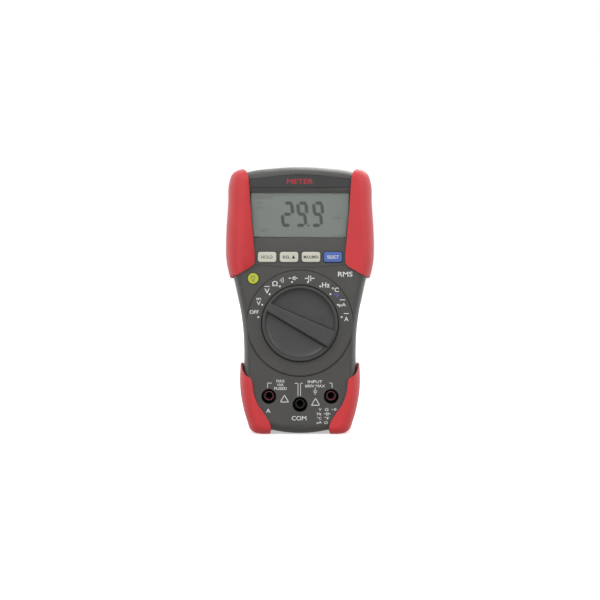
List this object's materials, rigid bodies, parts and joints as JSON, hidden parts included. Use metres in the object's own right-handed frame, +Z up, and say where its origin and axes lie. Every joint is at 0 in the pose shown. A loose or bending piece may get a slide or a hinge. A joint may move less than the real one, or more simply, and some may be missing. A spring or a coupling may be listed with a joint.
{
  "type": "digital multimeter",
  "caption": "Hand-held digital multimeter with a display, push buttons, a rotary range switch, banana sockets, soft corner grips and a tilt stand",
  "frame": {"origin": "middle of the foot, halfway through the depth, on the surface that the meter stands on", "axes": "+Z up along the case, the display and switch face -Y, +X to the right of someone who reads the display"},
  "size_m": [0.09, 0.045, 0.1603],
  "materials": {
    "case_grey": "satin moulded plastic with a fine texture",
    "grip_red": "soft-touch rubber, matt",
    "knob_grey": "satin",
    "plate_dark": "smooth",
    "window_clear": "clear, lightly coated",
    "display_grey": "liquid crystal cell, grey-green",
    "light_guide": "milky clear",
    "key_cream": "satin",
    "key_blue": "satin",
    "key_yellow": "satin, slightly translucent",
    "black_plastic": "satin",
    "socket_red": "smooth",
    "contact_brass": "plated",
    "steel": "zinc plated",
    "board_green": "solder mask",
    "mat_grey": "silicone, matt",
    "fuse_ceramic": "ceramic body",
    "battery_case": "printed metal jacket"
  },
  "bodies": {
    "case": {"front_case": "case_grey", "rear_case": "case_grey", "grip_upper_left_front": "grip_red", "grip_upper_left_rear": "grip_red", "grip_upper_right_front": "grip_red", "grip_upper_right_rear": "grip_red", "grip_lower_left_front": "grip_red", "grip_lower_left_rear": "grip_red", "grip_lower_right_front": "grip_red", "grip_lower_right_rear": "grip_red", "name_plate": "plate_dark", "display_window": "window_clear", "lcd_glass": "display_grey", "backlight_plate": "light_guide", "lcd_connector_upper": "mat_grey", "lcd_connector_lower": "mat_grey", "keypad_mat": "mat_grey", "lcd_frame": "black_plastic", "detent_ring": "black_plastic", "jack_barrel_a": "black_plastic", "jack_barrel_com": "black_plastic", "jack_barrel_v": "black_plastic", "jack_collar_com": "black_plastic", "buzzer": "black_plastic", "battery_snap": "black_plastic", "jack_collar_a": "socket_red", "jack_collar_v": "socket_red", "jack_contact_a": "contact_brass", "jack_contact_com": "contact_brass", "jack_contact_v": "contact_brass", "fuse_10a_clip_left": "contact_brass", "fuse_10a_clip_right": "contact_brass", "fuse_ma_clip_left": "contact_brass", "fuse_ma_clip_right": "contact_brass", "case_screw_upper_left": "steel", "case_screw_upper_right": "steel", "case_screw_lower_left": "steel", "case_screw_lower_right": "steel", "main_board": "board_green", "fuse_10a": "fuse_ceramic", "fuse_ma": "fuse_ceramic", "battery_9v": "battery_case"},
    "switch": {"range_knob": "knob_grey", "rotor_disc": "light_guide", "detent_spring_left": "steel", "detent_spring_right": "steel", "detent_ball_left": "steel", "detent_ball_right": "steel", "wiper_contact_1": "contact_brass", "wiper_contact_2": "contact_brass", "wiper_contact_3": "contact_brass"},
    "hold_key": {"hold_button": "key_cream"},
    "relative_key": {"relative_button": "key_cream"},
    "min_max_key": {"min_max_button": "key_cream"},
    "select_key": {"select_button": "key_blue"},
    "backlight_key": {"backlight_button": "key_yellow"},
    "stand": {"tilt_stand": "case_grey"},
    "door": {"battery_door": "case_grey", "door_screw_upper": "steel", "door_screw_lower": "steel"}
  },
  "joints": [
    {"name": "range_switch_turn", "type": "hinge", "parent": "case", "child": "switch", "pos_m": [0, -0.017, 0.066], "axis": [0, 1, 0], "range_deg": [-18, 144]},
    {"name": "hold_button_press", "type": "slide", "parent": "case", "child": "hold_key", "axis": [0, 1, 0], "range_m": [0, 0.001], "stiffness_N_per_m": 800, "springref_m": -0.0006},
    {"name": "relative_button_press", "type": "slide", "parent": "case", "child": "relative_key", "axis": [0, 1, 0], "range_m": [0, 0.001], "stiffness_N_per_m": 800, "springref_m": -0.0006},
    {"name": "min_max_button_press", "type": "slide", "parent": "case", "child": "min_max_key", "axis": [0, 1, 0], "range_m": [0, 0.001], "stiffness_N_per_m": 800, "springref_m": -0.0006},
    {"name": "select_button_press", "type": "slide", "parent": "case", "child": "select_key", "axis": [0, 1, 0], "range_m": [0, 0.001], "stiffness_N_per_m": 800, "springref_m": -0.0006},
    {"name": "backlight_button_press", "type": "slide", "parent": "case", "child": "backlight_key", "axis": [0, 1, 0], "range_m": [0, 0.001], "stiffness_N_per_m": 800, "springref_m": -0.0006},
    {"name": "stand_swing", "type": "hinge", "parent": "case", "child": "stand", "pos_m": [0, 0.0195, 0.1187], "axis": [1, 0, 0], "range_deg": [0, 60]},
    {"name": "door_lift_off", "type": "slide", "parent": "case", "child": "door", "axis": [0, 1, 0], "range_m": [0, 0.06]}
  ]
}
